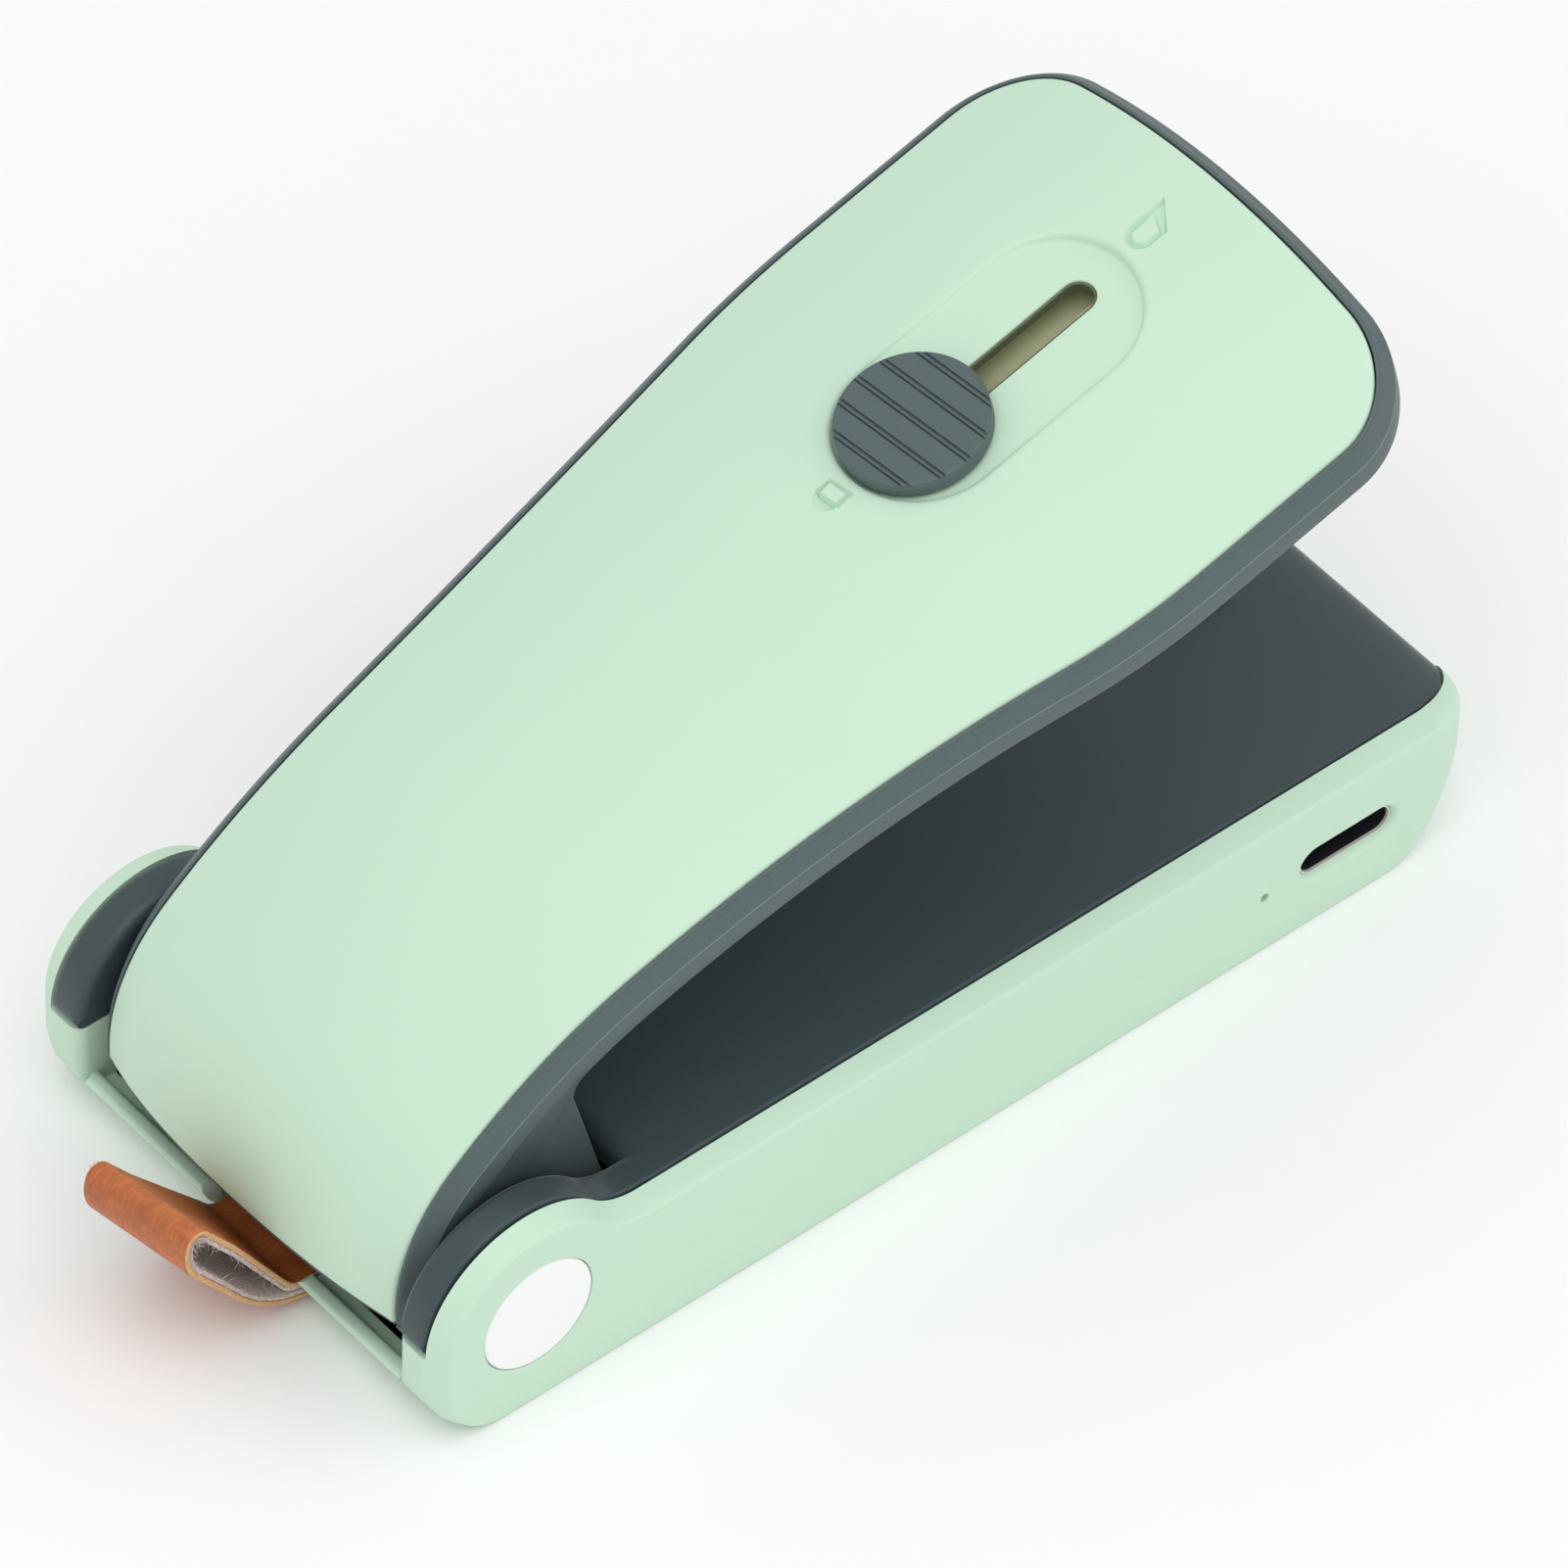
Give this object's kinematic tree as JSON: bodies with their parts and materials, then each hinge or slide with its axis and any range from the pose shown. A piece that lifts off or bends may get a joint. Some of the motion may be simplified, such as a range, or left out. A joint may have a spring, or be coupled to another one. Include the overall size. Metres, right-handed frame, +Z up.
{
  "type": "handheld bag sealer",
  "caption": "Handheld bag sealer: a base with hinge ears and a heated head, a sprung lever arm with a press pad, a sliding knob that pushes a cutter blade out of the nose, and a leather loop.",
  "frame": {"origin": "middle of the base underside, on the plane that the sealer rests on", "axes": "+X from the hinge to the front of the jaw, +Y to the side without the charging socket, +Z up; the hinge axis runs along Y"},
  "size_m": [0.117, 0.05, 0.0587],
  "materials": {
    "mint_plastic": "soft satin moulding",
    "dark_plastic": "fine spark texture",
    "white_plastic": "smooth",
    "steel": "bright wire and turned steel",
    "blade_steel": "ground flat",
    "bronze": "sintered bronze",
    "element_metal": "rolled strip",
    "ceramic": "fired, unglazed",
    "glass_cloth": "coated glass cloth",
    "silicone": "soft moulding",
    "leather": "smooth outside, felt inside",
    "beige_plastic": "plain moulding",
    "grey_plastic": "plain moulding",
    "red_plastic": "plain moulding",
    "board": "solder mask",
    "cell_wrap": "pouch foil",
    "wire_cover": "smooth insulation",
    "clear_plastic": "clear moulding",
    "socket_metal": "drawn shell"
  },
  "bodies": {
    "base": {"base_shell": "mint_plastic", "base_cover": "dark_plastic", "hinge_caps": "white_plastic", "hinge_pin": "steel", "torsion_spring": "steel", "base_screws": "steel", "battery": "cell_wrap", "circuit_board": "board", "usb_socket": "socket_metal", "status_led": "clear_plastic", "battery_leads": "wire_cover", "heater_leads": "wire_cover", "heater_block": "ceramic", "heating_element": "element_metal", "heater_film": "glass_cloth", "press_switch": "grey_plastic", "leather_tab": "leather", "tab_clamp": "grey_plastic"},
    "arm": {"arm_skin": "mint_plastic", "arm_bezel": "dark_plastic", "arm_shell": "dark_plastic", "hinge_bushes": "bronze", "pad_holder": "dark_plastic", "press_pad": "silicone", "arm_screws": "steel", "cutter_guide": "beige_plastic"},
    "cutter": {"slider_knob": "dark_plastic", "cutter_shuttle": "grey_plastic", "cutter_blade": "blade_steel", "detent_spring": "steel"},
    "button": {"switch_button": "red_plastic"}
  },
  "joints": [
    {"name": "arm_hinge", "type": "hinge", "parent": "base", "child": "arm", "pos_m": [-0.0443, 0, 0.00975], "axis": [0, 1, 0], "range_deg": [0, 19], "stiffness_Nm_per_rad": 0.15, "springref_deg": -20.05},
    {"name": "cutter_slide", "type": "slide", "parent": "arm", "child": "cutter", "axis": [0.9627, 0, 0.2706], "range_m": [0, 0.014]},
    {"name": "button_press", "type": "slide", "parent": "base", "child": "button", "axis": [0, 0, -1], "range_m": [0, 0.0005], "stiffness_N_per_m": 800, "springref_m": -0.0005}
  ]
}
